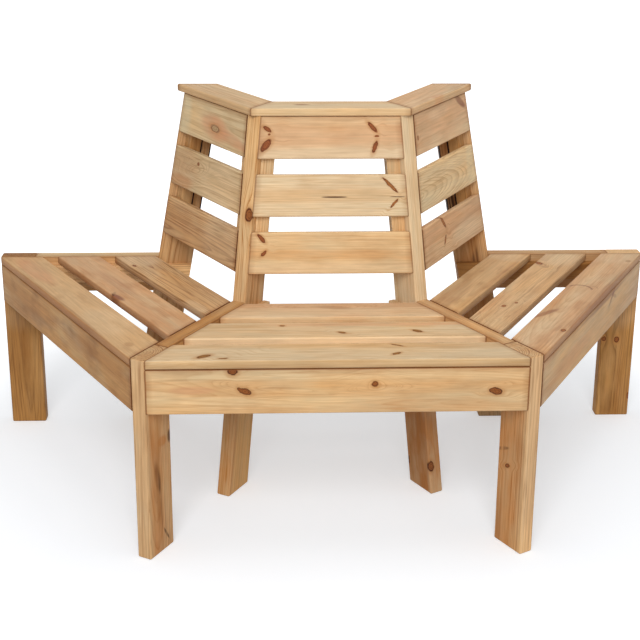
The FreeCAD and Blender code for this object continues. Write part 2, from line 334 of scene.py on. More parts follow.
# the patterns over a board: size in mm along the grain and across it, detail, a shift that grows with
# the board's number, the noise at which a pattern shows and is full, and how it lightens the wood.
# Fibres are drawn coarser than real ones, so that they show.
figure = {
    "drift": {"size": (455, 71.4), "detail": 3, "shift": (7.3, 3.1, 0)},  # the rings' wander
    "ragged": {"size": (11.11, 6.67), "detail": 2, "shift": (1, 0, 0)},  # the knots' rims
    "fibres": {"size": (71.4, 4.8), "detail": 2, "shift": (1, 0, 0), "light": (0.92, 1.06)},
    "mottle": {"size": (71.4, 22.2), "detail": 3, "shift": (0.7, 1, 0), "light": (0.93, 1.05)},
    "clouds": {"size": (333, 125), "detail": 2, "shift": (1.9, 0, 1), "light": (0.92, 1.05),
               "shows": (0.5, 0.72)},
    "washes": {"size": (200, 62.5), "detail": 3, "shift": (1, 2.3, 0), "shows": (0.5, 0.75)},
    "bands": {"size": (1250, 38.5), "detail": 2, "shift": (2.7, 1, 0), "shows": (0.38, 0.66)},
    "streaks": {"size": (400, 8.33), "detail": 3, "shift": (1.3, 0, 1), "shows": (0.56, 0.8)},
    "dashes": {"size": (111, 4.17), "detail": 2, "shift": (1, 0.6, 0), "shows": (0.58, 0.74)},
    "smudges": {"size": (91, 35.7), "detail": 4, "shift": (0.9, 0, 1.7), "shows": (0.5, 0.72)},
}

# what a board shows unless it says otherwise
usual = {
    "tone": "honey", "light": 1.0, "edgeLight": 1.0, "edgeTint": ("glow", 0), "knotShade": "dark",
    "rings": 0.6, "wash": 0.4, "smudge": 0.25, "joint": 0.6, "underShade": 0.8, "sawnEnd": 0.3,
    "knots": (), "edgeKnots": (), "swirls": (), "patches": (), "arcs": (), "checks": (),
}

# What the single boards show. Places and sizes are in mm, from a board's middle along its grain and
# across it. tone and endTone are pines, knotShade a shade and light a brightness. edgeTint, a tint and
# its strength, and edgeLight, a brightness, are painted light and shade on the narrow faces. rings,
# wash, smudge, joint, underShade and sawnEnd are strengths: joint that of the painted shade in a joint,
# and underShade that of the painted shade under a slat. pith is the heart of the board's log: its depth
# under the face, its place across, and the slope at which it runs off, with sideSlope to the side. heart
# is the middle and half width of the heartwood. battenSide is the side of an end post that faces its
# seat. A mark is along, across, half length, half width and degrees. A swirl adds how far it pushes the
# rings, and a patch or an arc its tint and strength.
boards = {
    "apron_centre": {
        "tone": "honey", "rings": 0.4, "joint": 1, "knotShade": "red", "pith": (46, -12, 0.03),
        "knots": [(-217, 46, 11, 9, 0), (-192, 1, 14, 7, -19), (-201, 4, 9, 4, -35), (76, 15, 7, 7, 0),
                  (329, -4, 12, 8, -12), (321, -1, 9, 6, 20)],
        "swirls": [(76, 15, 15, 12, 0, 30), (200, 8, 80, 13, 0, 44), (-125, 8, 44, 10, -6, 30)],
        "patches": [(-300, 6, 50, 9, 0, "blush", 0.5), (200, -33, 190, 18, 0, "amber", 0.32)]},
    "seat_slat_centre_front": {
        "tone": "cream", "light": 0.9, "edgeTint": ("glow", 0.4), "rings": 0.45, "wash": 0.1,
        "joint": 0.9, "knotShade": "olive", "pith": (60, 20, 0.01), "heart": (-34, 14),
        "knots": [(-277, 22, 17, 7, -30), (-236, 34, 10, 3, -10), (122, 15, 11, 5, -34),
                  (128, -31, 14, 3, 27)],
        "swirls": [(-262, 16, 24, 12, -20, 14)]},
    "seat_slat_centre_middle": {
        "tone": "cream", "light": 0.96, "edgeLight": 1.24, "edgeTint": ("pale", 0.35), "rings": 0.45,
        "joint": 0.9, "underShade": 0, "knotShade": "olive", "pith": (80, 25, -0.01),
        "knots": [(-113, -25, 6, 4, 0), (15, 18, 9, 5, 26), (179, 12, 12, 6, 31)],
        "patches": [(90, -30, 260, 10, 0, "pinkish", 0.5)]},
    "seat_slat_centre_rear": {
        "tone": "pink", "edgeLight": 1.04, "edgeTint": ("glow", 0.25), "rings": 0.5, "joint": 0.9,
        "underShade": 0.4, "pith": (60, 5, 0.01), "heart": (-30, 18),
        "swirls": [(-18, -17, 26, 10, 0, 40)],
        "patches": [(6, -14, 44, 10, 8, "stain", 0.35), (-90, -16, 30, 8, 0, "stain", 0.2),
                    (-120, 38, 130, 12, 0, "pale", 0.35)]},
    "back_slat_centre_top": {
        "tone": "pink", "rings": 0.35, "knotShade": "core", "pith": (90, 5, 0.004), "heart": (6, 24),
        "knots": [(-143, 19, 11, 5, -38), (-139, 7, 3, 2, 0), (-147, -17, 18, 8, 51),
                  (94, 23, 16, 5, -48), (104, 3, 5, 2, 0), (100, -21, 15, 5, 72)],
        "patches": [(0, -38, 400, 14, 0, "pale", 0.55)]},
    "back_slat_centre_middle": {
        "tone": "cream", "rings": 0.5, "knotShade": "spike", "pith": (15, 70, 0.006), "heart": (0, 15),
        "knots": [(135, 24, 26, 4, -45), (145, -18, 14, 3, 48)],
        "checks": [(8, -3, 30, 1.7), (152, -3, 18, 0.9)]},
    "back_slat_centre_bottom": {
        "tone": "honey", "light": 1.02, "rings": 0.4, "knotShade": "core", "pith": (20, -75, 0.004),
        "heart": (-4, 11),
        "knots": [(-159, 35, 13, 5, -48), (-154, 0, 9, 4, 48)],
        "patches": [(0, -36, 400, 14, 0, "pale", 0.3)]},
    "back_slat_left_top": {
        "tone": "ash", "light": 1.04, "knotShade": "eye", "pith": (60, 0, 0.01),
        "knots": [(18, -9, 24, 9, -4)],
        "patches": [(16, -7, 68, 28, -6, "blush", 0.9), (110, -20, 70, 13, -8, "blush", 0.7),
                    (-148, 0, 40, 60, 0, "wash", 0.6)]},
    "back_slat_left_middle": {
        "tone": "ash", "rings": 1.15, "pith": (60, 50, 0.01),
        "knots": [(-43, 25, 5, 4, 0)],
        "swirls": [(-64, 1, 22, 13, 12, 44)],
        "patches": [(-110, 0, 70, 50, 0, "blush", 0.3), (-125, -34, 60, 20, 0, "amber", 0.35),
                    (70, 0, 110, 60, 0, "pale", 0.3)]},
    "back_slat_left_bottom": {
        "tone": "tan", "light": 1.04, "rings": 1.2, "pith": (24, 26, -0.03),
        "patches": [(-115, -10, 75, 60, 0, "stain", 0.22), (105, 0, 95, 60, 0, "pale", 0.25)]},
    "back_slat_right_top": {
        "tone": "pink", "light": 1.18, "rings": 0.3, "knotShade": "spike", "pith": (70, 25, 0.01),
        "heart": (10, 34),
        "knots": [(-149, -7, 4, 6, 0)],
        "patches": [(120, 33, 36, 10, -32, "bruise", 1), (-130, -20, 50, 36, 0, "amber", 0.15),
                    (-20, 30, 60, 16, 0, "pale", 0.3)]},
    "back_slat_right_middle": {
        "tone": "ash", "light": 1.31, "rings": 0.66, "pith": (30, 10, -0.13), "sideSlope": 0.02,
        "patches": [(150, 0, 32, 60, 0, "wash", 0.45)]},
    "back_slat_right_bottom": {
        "tone": "pink", "light": 1.08, "knotShade": "spike", "pith": (60, -30, -0.01), "heart": (24, 26),
        "knots": [(-61, 35, 21, 5, -50), (-60, -8, 14, 4, 55)],
        "patches": [(80, -18, 85, 30, 0, "pale", 0.35)]},
    "rear_post_left": {
        "tone": "honey", "light": 1.03, "edgeLight": 0.95, "rings": 1, "pith": (70, 20, 0.002),
        "edgeKnots": [(214, 8, 17, 10, 0)],
        "patches": [(-330, -8, 250, 46, 0, "glow", 0.65), (-330, 44, 250, 14, 0, "amber", 0.5)]},
    # its lower part is deepened with amber and stain: painted shade under the seat
    "rear_post_right": {
        "tone": "cream", "light": 1.02, "edgeLight": 1.03, "rings": 0.5, "pith": (80, 10, 0.002),
        "edgeKnots": [(-388, -11, 14, 8, 0)],
        "patches": [(-330, 0, 250, 60, 0, "amber", 0.85), (-330, -6, 250, 44, 0, "stain", 0.4)]},
    # the stain along its front edge is painted shade where it meets the apron
    "seat_slat_left_front": {
        "tone": "tan", "light": 0.95, "edgeLight": 0.96, "edgeTint": ("amber", 0.4), "rings": 0.2,
        "wash": 0.15, "smudge": 0.4, "pith": (45, 0, 0.02),
        "patches": [(326, 14, 14, 10, 0, "stain", 0.35), (-250, 10, 120, 26, 0, "blush", 0.6),
                    (175, 0, 90, 60, 0, "pale", 0.22), (40, 45, 220, 6, 0, "stain", 0.5),
                    (-345, 0, 40, 60, 0, "amber", 0.12)]},
    "seat_slat_left_middle": {
        "tone": "pink", "light": 0.965, "edgeLight": 1.07, "edgeTint": ("amber", 0.25), "rings": 0.25,
        "smudge": 0.5, "pith": (40, 20, 0.015),
        "patches": [(0, 0, 600, 80, 0, "amber", 0.28), (-50, 2, 110, 16, 0, "bruise", 0.25),
                    (0, 36, 320, 14, 0, "amber", 0.12), (230, 0, 70, 30, 0, "amber", 0.1),
                    (40, 40, 30, 8, -4, "bruise", 1), (14, 38, 12, 4, 30, "check", 1)]},
    "seat_slat_left_rear": {
        "tone": "tan", "edgeLight": 1.04, "edgeTint": ("stain", 0.12), "rings": 1.05,
        "pith": (34, -8, -0.03),
        "knots": [(-154, 36, 8, 4, 0)],
        "patches": [(-195, 0, 60, 60, 0, "pale", 0.35), (190, 36, 50, 16, 0, "pale", 0.3)]},
    # the bruise along its front edge is painted shade where it meets the apron
    "seat_slat_right_front": {
        "tone": "pink", "light": 0.95, "edgeTint": ("amber", 0.42), "rings": 0.4, "smudge": 0.35,
        "knotShade": "spike", "pith": (36, 10, 0.06),
        "knots": [(-243, 38, 9, 6, 0)],
        "patches": [(312, 35, 10, 7, 0, "stain", 0.6), (-159, -29, 46, 8, 22, "bruise", 0.75),
                    (-235, 28, 24, 6, 0, "bruise", 0.3), (-110, -38, 150, 16, 0, "amber", 0.2),
                    (330, -10, 60, 50, 0, "pale", 0.3), (20, 44, 240, 6, 0, "bruise", 0.5)],
        "arcs": [(46, -11, 25, 27, 0, "bruise", 0.8), (62, 14, 14, 12, 0, "bruise", 0.4)]},
    # the dark check along its front edge is painted shade
    "seat_slat_right_middle": {
        "tone": "tan", "light": 1.06, "rings": 0.75, "knotShade": "spike", "pith": (60, 30, 0.01),
        "knots": [(186, -35, 13, 8, -53), (-158, -4, 7, 5, 0), (-124, 14, 5, 4, 0)],
        "swirls": [(-158, -4, 18, 13, 0, 90)],
        "patches": [(0, 0, 600, 80, 0, "pale", 0.12), (60, -10, 160, 20, 0, "glow", 0.12),
                    (-150, -36, 90, 12, 0, "amber", 0.3), (250, 0, 60, 60, 0, "pale", 0.3),
                    (75, 51, 70, 6, 0, "check", 0.8)]},
    "seat_slat_right_rear": {
        "tone": "tan", "edgeLight": 0.94, "rings": 0.3, "wash": 0.15, "smudge": 0.4,
        "pith": (70, -30, 0.01),
        "patches": [(57, -15, 13, 5, 5, "bruise", 0.25), (-150, -10, 120, 26, 0, "bruise", 0.25),
                    (200, 0, 40, 60, 0, "pale", 0.3)]},
    "apron_left": {
        "tone": "brown", "light": 0.96, "rings": 0.3, "smudge": 0.5, "pith": (20, 60, 0.006),
        "patches": [(120, 10, 90, 20, 0, "stain", 0.3), (-200, -20, 120, 18, 0, "stain", 0.25)]},
    "apron_right": {
        "tone": "pink", "light": 0.97, "rings": 0.35, "smudge": 0.3, "pith": (50, 40, 0.01),
        "patches": [(-40, 10, 380, 70, 0, "glow", 0.45), (60, 43, 170, 7, 0, "bruise", 0.55),
                    (128, 30, 30, 7, 35, "bruise", 0.7), (150, 30, 24, 5, -25, "bruise", 0.5),
                    (-180, -10, 150, 24, 0, "blush", 0.4)]},
    # the amber over its broad faces is painted shade, on the faces turned from the lamps
    "front_leg_left": {
        "tone": "tan", "light": 1.06, "edgeTint": ("pale", 0.08), "rings": 0.7, "sawnEnd": 0.36,
        "pith": (30, -12, 0.05),
        "patches": [(0, 12, 420, 26, 0, "amber", 0.6), (0, -30, 420, 18, 0, "amber", 0.28),
                    (28, -12, 16, 12, 80, "amber", 0.6), (30, -36, 15, 6, 0, "check", 0.65),
                    (-52, 9, 40, 11, 12, "stain", 0.6), (-50, 9, 38, 7, 12, "check", 0.6),
                    (-132, -2, 40, 3, 0, "check", 0.8), (-193, -16, 22, 3, 31, "check", 0.7),
                    (-80, 8, 80, 9, 0, "stain", 0.5)]},
    # the amber over its broad faces is painted shade, on the faces turned from the lamps
    "front_leg_right": {
        "tone": "tan", "light": 1.06, "edgeLight": 1.14, "edgeTint": ("pale", 0.15), "rings": 0.9,
        "sawnEnd": 0, "pith": (40, 10, 0.01),
        "knots": [(-40, -12, 8, 5, 66)],
        "patches": [(0, -8, 420, 40, 0, "amber", 0.55), (-6, -30, 24, 4, 68, "check", 0.45)]},
    "front_leg_left_end": {
        "tone": "umber", "wash": 0.1, "pith": (26, 8, 0.03),
        "patches": [(20, -5, 120, 12, 0, "stain", 0.4), (80, 10, 50, 50, 0, "pale", 0.1)]},
    "front_leg_right_end": {
        "tone": "umber", "light": 1.16, "rings": 0.7, "wash": 0.1, "sawnEnd": 0.42, "endTone": "tan",
        "pith": (60, 20, 0.01),
        "knots": [(-9, -36, 7, 6, 0), (-11, -2, 9, 7, 0), (-173, 41, 10, 3, 0)],
        "patches": [(80, 0, 60, 60, 0, "pale", 0.15)]},
    "rear_post_left_end": {
        "tone": "tan", "rings": 0.9, "battenSide": 1,
        "patches": [(-200, -16, 300, 40, 0, "stain", 0.35), (-205, 14, 50, 50, 0, "stain", 0.65)]},
    # its stains and dark patches are partly real marks and partly painted shade beside the seat
    "rear_post_right_end": {
        "tone": "tan", "rings": 0.9, "battenSide": -1,
        "patches": [(-100, -12, 300, 40, 0, "stain", 0.6), (-100, 0, 320, 60, 0, "amber", 0.2),
                    (-20, 0, 60, 12, 20, "check", 0.5), (160, -36, 60, 14, 0, "check", 0.8),
                    (300, -32, 70, 14, 0, "amber", 0.5), (-130, 0, 60, 60, 0, "stain", 0.6)]},
    "back_batten_left_by_left_end": {"tone": "brown"},
    "back_batten_right_by_right_end": {"tone": "brown"},
    "seat_rail_left": {"tone": "brown", "light": 0.98},
    # the stain along its lower edge is painted shade, deep in the seat's frame
    "seat_rail_right_end": {
        "tone": "tan", "light": 0.96, "edgeLight": 1.04,
        "patches": [(0, -36, 400, 18, 0, "stain", 0.75), (0, 0, 400, 60, 0, "amber", 0.15)]},
    # the stain along its lower edge is painted shade, deep in the seat's frame
    "seat_rail_left_end": {
        "tone": "honey", "edgeLight": 0.95, "edgeTint": ("wash", 0.35),
        "patches": [(0, -36, 400, 16, 0, "stain", 0.6)]},
    # the umber cleats deep under the seats are dark and dimmed, with a stain on the one by right_end:
    # painted shade
    "seat_cleat_right_by_right_end": {
        "tone": "umber", "light": 0.88, "wash": 0,
        "patches": [(0, 0, 400, 60, 0, "stain", 0.5)]},
    "seat_cleat_right_by_right": {"tone": "umber", "light": 0.8, "wash": 0},
    "seat_cleat_left_by_left_end": {"tone": "tan", "light": 1.24},
    "seat_cleat_left_by_left": {"tone": "umber", "light": 0.85, "wash": 0},
    "seat_rail_right": {"tone": "tan", "light": 1.02, "patches": [(0, 0, 400, 60, 0, "amber", 0.25)]},
    "cap_board_left": {
        "tone": "ash", "light": 1.02, "edgeTint": ("glow", 0.2), "pith": (50, 10, 0.01),
        "patches": [(0, 0, 400, 80, 0, "blush", 0.25)]},
    "cap_board_centre": {
        "tone": "cream", "light": 0.95, "edgeLight": 1.08, "edgeTint": ("glow", 0.3), "rings": 0.4,
        "pith": (70, 20, 0.006),
        "patches": [(-65, 0, 18, 7, 0, "bruise", 0.7)]},
    "cap_board_right": {
        "tone": "pink", "light": 0.96, "edgeLight": 1.22, "edgeTint": ("glow", 0.25), "rings": 0.5,
        "pith": (60, -20, 0.01),
        "patches": [(-20, 38, 30, 10, 0, "blush", 0.6)]},
}


def layFigure(add, space, number, names):
    # the named patterns of the figure, drawn out along a board's grain
    laid = {}
    for name in names:
        pattern = figure[name]
        along, across = (1 / (v * mm) for v in pattern["size"])
        drawn = add("Mapping", {"Vector": space, "Location": [number * v for v in pattern["shift"]],
                                "Scale": (along, across, across)})
        laid[name] = add("TexNoise", {"Vector": drawn, "Scale": 1, "Detail": pattern["detail"]})
    return laid


def spot(place, along, across, halfLong, halfWide, angle=0, shift=0, onEdge=False):
    # what the knot group needs to know of a mark on a board's broad face, or on its edge
    centre = [v * mm for v in (along + shift, across + shift, shift)]
    scale = [1 / (halfLong * mm), 1 / (halfWide * mm), 0]
    order = (0, 2, 1) if onEdge else (0, 1, 2)
    return {"Place": place, "Centre": [centre[i] for i in order], "Angle": math.radians(-angle),
            "Scale": [scale[i] for i in order]}


def growKnots(add, given, bent, ragged, atEdge):
    # knots push the rings apart and bend the grain round them, and swirls only push the rings
    core = halo = bend = push = 0.0
    reach = 9.0  # in knot sizes, far outside any knot
    marks = [(mark, False) for mark in given["knots"]] + [(mark, True) for mark in given["edgeKnots"]]
    for mark, onEdge in marks:
        halfLong, halfWide = mark[2:4]
        pull = knotForm["spikePull" if halfLong > knotForm["slim"] * halfWide else "roundPull"]
        knot = add("Group", {
            **spot(ragged, *mark, shift=knotForm["ragged"] / 2, onEdge=onEdge),
            "Width": (0, 0, -2 * pull) if onEdge else (0, -2 * pull, 0)}, node_tree=knotGroup).outputs
        here = [add("Math", (knot[part], atEdge if onEdge else 1), "MULTIPLY")
                for part in ("Core", "Halo")] + [knot["Bend"]]
        core, halo, bend = (
            add("Math", pair, "MAXIMUM") for pair in zip((core, halo, bend), here))
        height = min(halfLong, halfWide) * pull * mm
        push = add("Math", (knot["Bend"], height, push), "MULTIPLY_ADD")
        reach = add("Math", (reach, knot["Reach"]), "MINIMUM")
        bent = add("VectorMath", (bent, knot["Flow"]), "ADD")
    for *mark, height in given["swirls"]:
        swirl = add("Group", spot(bent, *mark), node_tree=knotGroup).outputs
        push = add("Math", (swirl["Bend"], height * mm, push), "MULTIPLY_ADD")
    return {"core": core, "halo": halo, "bend": bend, "reach": reach}, push, bent


def paintMarks(add, given, wood, seen, knots, places, endOn):
    # stains, bruises and pale stretches, then arcs of resin, knots and drying cracks
    for *mark, shade, strength in given["patches"]:
        patch = add("Group", spot(places["bent"], *mark), node_tree=knotGroup).outputs["Reach"]
        here = add("MapRange", (patch, *markForm["fade"], strength, 0), **smooth)
        if shade == "check":  # cracks are broken up finely, and stains softly
            broken = add("MapRange", (seen["streaks"], *markForm["crackBroken"]))
        else:
            broken = add("MapRange", (seen["mottle"], *markForm["stainBroken"]))
        for limit in (broken, add("MapRange", (endOn, *markForm["offEnd"]))):
            here = add("Math", (here, limit), "MULTIPLY")
        wood = add("Mix", (here, wood, tints[shade]), **rgba)
    for *mark, shade, strength in given["arcs"]:
        arc = add("Group", spot(places["ragged"], *mark, shift=knotForm["ragged"] / 2),
                  node_tree=knotGroup).outputs
        away = add("Math", (add("Math", (arc["Reach"], 1), "SUBTRACT"),), "ABSOLUTE")
        line = add("MapRange", (away, *markForm["arcLine"], strength, 0), **smooth)
        ahead = add("MapRange", (arc["Ahead"], *markForm["arcAhead"], 0, 1))
        here = add("Math", (line, ahead), "MULTIPLY")
        wood = add("Mix", (here, wood, tints[shade]), **rgba)
    if given["knots"] or given["edgeKnots"]:
        dark, light, glow = knotShades[given["knotShade"]]
        glowing = add("Math", (knots["halo"], glow), "MULTIPLY")
        wood = add("Mix", (glowing, wood, tints["halo"]), **rgba)
        uneven = add("Math", (seen["mottle"], knotForm["unevenRings"], knots["reach"]), "MULTIPLY_ADD")
        knotRings = add("Math", (uneven, knotForm["ring"]), "PINGPONG")
        ringed = add("MapRange", (knotRings, 0, knotForm["ring"], *knotForm["ringTint"]))
        paler = add("MapRange", (knots["reach"], *knotForm["paleFrom"], *knotForm["paleTint"]))
        lightness = add("Math", (ringed, paler), "ADD")
        knotWood = add("Mix", (lightness, toLinear(dark), toLinear(light)), **rgba)
        wood = add("Mix", (knots["core"], wood, knotWood), **rgba)
    for mark in given["checks"]:
        crack = add("Group", spot(places["own"], *mark), node_tree=knotGroup).outputs["Core"]
        wood = add("Mix", (crack, wood, tints["check"]), **rgba)
    return wood


def shadeJoints(add, name, given, wood, mottle, onBench, own, turn, half):
    # painted shade: a dark line in each joint, softer shade beside it, and shade under the seat's inner
    # slats
    line = paintedShade = 0.0
    for normal, offset in jointPlanes(name):
        onTop = 1.0
        if abs((turn @ normal).z) > grain["flatOn"]:  # a joint with a broad face is shaded only along its top
            low, high = (half.y - v * mm for v in grain["jointDepth"])
            onTop = add("MapRange", (own["Y"], low, high, 0, 1))
        along = add("VectorMath", (onBench, normal), "DOT_PRODUCT")
        away = add("Math", (add("Math", (along, offset), "SUBTRACT"),), "ABSOLUTE")
        near, far = (v * mm for v in grain["crevice"])
        dark = add("MapRange", (away, near, far, given["joint"], 0))
        grey = add("MapRange", (away, 0, grain["shadedWidth"] * mm, grain["paintedShade"], 0))
        line = add("Math", (line, add("Math", (dark, onTop), "MULTIPLY")), "MAXIMUM")
        paintedShade = add("Math", (paintedShade, add("Math", (grey, onTop), "MULTIPLY")), "MAXIMUM")
    if name.startswith("seat_slat") and not name.endswith("_front"):
        under = add("MapRange", (own["Z"], grain["underFrom"] * half.z, half.z, 0, given["underShade"]))
        paintedShade = add("Math", (paintedShade, under), "MAXIMUM")
    patchy = add("MapRange", (mottle, *grain["shadePatchy"]))
    paintedShade = add("Math", (paintedShade, patchy), "MULTIPLY")
    wood = add("Mix", (paintedShade, wood, tints["paintedShade"]), blend_type="MULTIPLY", **rgba)
    return add("Mix", (line, wood, tints["joint"]), **rgba)


def shadeSlit(add, given, wood, own, half):
    # painted shade: an end post is darkened where its batten ends and along its rear arris, on the side
    # towards the seat
    toSlit = add("Math", (own["Y"], grain["slit"] * mm), "SUBTRACT")
    toSlit = add("Math", (toSlit,), "ABSOLUTE")
    toArris = add("Math", (own["Y"], half.y - mm), "ADD")
    nearest = add("Math", (toSlit, toArris), "MINIMUM")
    inward = add("Math", (own["Z"], given["battenSide"]), "MULTIPLY")
    here = add("MapRange", (nearest, *(v * mm for v in grain["slitHalf"]), 1, 0))
    for limit in (add("MapRange", (own["X"], *(v * mm for v in grain["slitFrom"]), 0, 1)),
                  add("MapRange", (inward, 0, mm, 0, 1))):
        here = add("Math", (here, limit), "MULTIPLY")
    return add("Mix", (here, wood, tints["shade"]), blend_type="MULTIPLY", **rgba)


def plankMaterial(name, number):
    # planed and oiled pine: soft pale spring wood between thin darker summer rings, sawn from a log
    chance = random.Random(1000 + number)
    given = {**usual, **boards.get(name, {})}
    spring, heartwood, summer = (toLinear(c) for c in pine[given["tone"]])
    pithDepth, pithSide, slope = given.get("pith", (
        chance.uniform(*grain["pithDepth"]), chance.uniform(*grain["pithSide"]),
        chance.choice((-1, 1)) * chance.uniform(*grain["slope"])))
    ringDepth = given["rings"]
    material, add = newMaterial("oiledPine_" + name)

    turn, shift, half = boardPlace(name)
    onBench = add("TexCoord").outputs
    turned = turn.to_euler()
    place = add("Mapping", {"Vector": onBench["Object"], "Location": shift, "Rotation": turned})
    own = add("SeparateXYZ", (place,)).outputs
    facing = add("Mapping", {"Vector": onBench["Normal"], "Rotation": turned}, vector_type="NORMAL")
    turnedTo = add("SeparateXYZ", (facing,)).outputs
    endOn, edgeOn, offY, offZ = (
        add("Math", (value,), "ABSOLUTE")
        for value in (turnedTo["X"], turnedTo["Y"], own["Y"], own["Z"]))
    edgeOn = add("MapRange", (edgeOn, *grain["edgeTurn"], 0, 1))

    # the rings wander slowly along the board and flow round the knots
    seen = layFigure(add, place, number, ("drift", "ragged", "fibres", "clouds", "washes", "mottle"))
    wander = grain["wander"] * mm
    spread, offset = (0, 2 * wander, 2 * wander), (0, -wander, -wander)
    drift = add("VectorMath", (seen["drift"].outputs["Color"], spread, offset), "MULTIPLY_ADD")
    bent = add("VectorMath", (place, drift), "ADD")
    ragged = add("VectorMath", (
        seen["ragged"].outputs["Color"], [knotForm["ragged"] * mm] * 3, place), "MULTIPLY_ADD")
    atEdge = add("MapRange", (offY, *(half.y - v * mm for v in knotForm["edgeDepth"]), 0, 1))
    knots, push, bent = growKnots(add, given, bent, ragged, atEdge)
    seen.update(layFigure(add, bent, number, ("bands", "streaks", "dashes", "smudges")))

    # distance from the heart of the log, which runs at a slight slope to the board
    heart = add("Mapping", {
        "Vector": bent, "Location": (0, pithSide * mm, pithDepth * mm),
        "Rotation": (0, slope, given.get("sideSlope", slope * grain["sideSlope"]))})
    flat = add("VectorMath", (heart, (0, 1, 1)), "MULTIPLY")
    ringReach = add("Math", (add("VectorMath", (flat,), "LENGTH"), push), "ADD")

    # growth rings: uneven years, long pale spring wood and a narrow dark line of summer wood
    years = add("TexNoise", {"W": ringReach, "Scale": 1 / (grain["unevenOver"] * mm), "Detail": 1},
                noise_dimensions="1D")
    ahead = add("Math", (years, grain["uneven"]), "MULTIPLY")
    phase = add("Math", (ringReach, 1 / (grain["ringSpacing"] * mm), ahead), "MULTIPLY_ADD")
    rings = add("ValToRGB", (add("Math", (phase,), "FRACT"),))
    ramp = rings.color_ramp
    ramp.interpolation = "EASE"
    for time, value in grain["ringProfile"]:
        ramp.elements.new(time).color = (value, value, value, 1)
    for end in (ramp.elements[0], ramp.elements[-1]):
        end.color = [grain["ringStart"]] * 3 + [1]
    for factor in (
            add("MapRange", (
                seen["mottle"], *grain["faintNoise"], grain["ringFaint"] * ringDepth, ringDepth)),
            add("Math", (knots["bend"], grain["ringAtKnot"], 1), "MULTIPLY_ADD"),
            add("Math", (endOn, grain["ringOnEnd"], 1), "MULTIPLY_ADD")):
        rings = add("Math", (rings, factor), "MULTIPLY")

    # heartwood, clouds, washes and smudges lie under the rings, and streaks and dashes over them
    if "heart" in given:
        middle, reachAcross = (v * mm for v in given["heart"])
        across = add("Math", (add("SeparateXYZ", (bent,)).outputs["Y"], middle), "SUBTRACT")
        across = add("Math", (across,), "ABSOLUTE")
        fade = [v * reachAcross for v in grain["heartFade"]]
        heartHere = add("MapRange", (across, *fade, grain["heart"], 0), **smooth)
    else:
        heartHere = add("MapRange", (seen["bands"], *figure["bands"]["shows"], 0, grain["bands"]),
                        **smooth)
    strengths = {"clouds": grain["clouds"], "washes": given["wash"], "smudges": given["smudge"],
                 "streaks": ringDepth, "dashes": grain["dashes"] * ringDepth}
    shown = {key: add("MapRange", (seen[key], *figure[key]["shows"], 0, strength))
             for key, strength in strengths.items()}
    wood = spring
    for amount, colour in (
            (heartHere, heartwood), (shown["clouds"], tints["glow"]),
            (shown["washes"], tints["wash"]), (shown["smudges"], summer),
            (rings, summer), (shown["streaks"], summer), (shown["dashes"], summer)):
        wood = add("Mix", (amount, wood, colour), **rgba)

    places = {"own": place, "bent": bent, "ragged": ragged}
    wood = paintMarks(add, given, wood, seen, knots, places, endOn)
    # painted light and shade: the narrow faces get their own tint
    edgeTint, edgeAmount = given["edgeTint"]
    onEdge = add("Math", (edgeOn, edgeAmount), "MULTIPLY")
    wood = add("Mix", (onEdge, wood, tints[edgeTint]), **rgba)
    wood = shadeJoints(add, name, given, wood, seen["mottle"], onBench["Object"], own, turn, half)
    if "battenSide" in given:
        wood = shadeSlit(add, given, wood, own, half)

    # sawn ends drink more oil, so they are darker
    sawn = add("MapRange", (endOn, *grain["endTurn"], 0, given["sawnEnd"]))
    wood = add("Mix", (sawn, wood, tints["sawnEnd"]), blend_type="MULTIPLY", **rgba)
    if "endTone" in given:
        sawn = add("MapRange", (endOn, *grain["endTurn"], 0, grain["endTone"]))
        wood = add("Mix", (sawn, wood, toLinear(pine[given["endTone"]][0])), **rgba)

    # the figure lightens and darkens the wood, rounded arrises are rubbed a little paler, and edgeLight
    # paints light or shade on the narrow faces
    lightness = given["light"]
    for key in ("fibres", "clouds", "mottle"):
        factor = add("MapRange", (seen[key], *grain["lightNoise"], *figure[key]["light"]))
        lightness = add("Math", (lightness, factor), "MULTIPLY")
    arris = grain["arris"] * mm
    wear = add("Math", [add("MapRange", (off, side - arris, side, 0, 1))
                        for off, side in ((offY, half.y), (offZ, half.z))], "MULTIPLY")
    lightness = add("Math", (wear, grain["wear"], lightness), "MULTIPLY_ADD")
    edgeLight = add("MapRange", (edgeOn, 0, 1, 1, given["edgeLight"]))
    finished = add("VectorMath", (wood, add("Math", (lightness, edgeLight), "MULTIPLY")), "SCALE")

    relief = add("Math", (rings, grain["ringRelief"] * mm), "MULTIPLY")
    for part, height in ((seen["fibres"], grain["fibreRelief"]), (knots["core"], -knotForm["dip"])):
        relief = add("Math", (part, height * mm, relief), "MULTIPLY_ADD")
    bump = add("Bump", {"Height": relief, "Distance": 1, "Strength": grain["bump"]})
    surface = add("BsdfPrincipled", {
        "Base Color": finished, "Roughness": add("MapRange", (rings, 0, 1, *grain["roughness"])),
        "Normal": bump, "IOR": grain["ior"], "Specular IOR Level": grain["specular"]})
    add("OutputMaterial", (surface,))
    return material


# turned beech dowels: even pinkish tan with short darker flecks along the grain
beech = {
    "wood": "#d9b48c",
    "fleck": "#a97b52",
    "fleckSize": (1.11, 8.33),  # mm across the grain and along it
    "flecked": (0.55, 0.7),  # the noise between which a fleck begins
    "relief": 0.05,  # mm
    "bump": 0.5,
    "roughness": (0.5, 0.62),
}

# zinc-plated steel screws: dull silver with a faint yellow cast, mottled by the plating's crystals
zinc = {
    "silver": "#b9b6aa",
    "yellow": "#d8d2b8",
    "crystal": 1.11,  # mm, far coarser than real so that they show
    "roughness": (0.28, 0.45),
}

